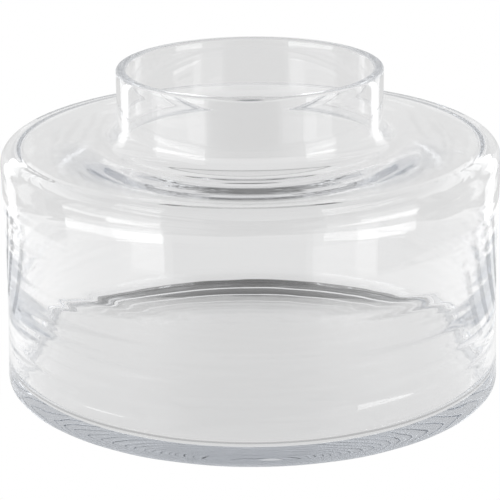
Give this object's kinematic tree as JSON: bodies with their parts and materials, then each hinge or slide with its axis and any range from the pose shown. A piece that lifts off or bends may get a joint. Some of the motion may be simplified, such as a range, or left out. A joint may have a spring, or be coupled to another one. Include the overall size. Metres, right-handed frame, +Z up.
{
  "type": "glass cylinder vase",
  "caption": "Wide, low cylinder vase of clear glass with a heavy floor, a nearly level shoulder and a short, wide neck with a flat-cut rim.",
  "frame": {"origin": "centre of the foot, on the surface the vase stands on", "axes": "+Z up along the axis of the body and neck, out of the mouth; X and Y are alike, because the vase is round"},
  "size_m": [0.2524, 0.2524, 0.161],
  "materials": {
    "clear_glass": "polished clear glass, faintly cool where it is thick"
  },
  "bodies": {
    "root": {"vase_glass": "clear_glass"}
  },
  "joints": []
}
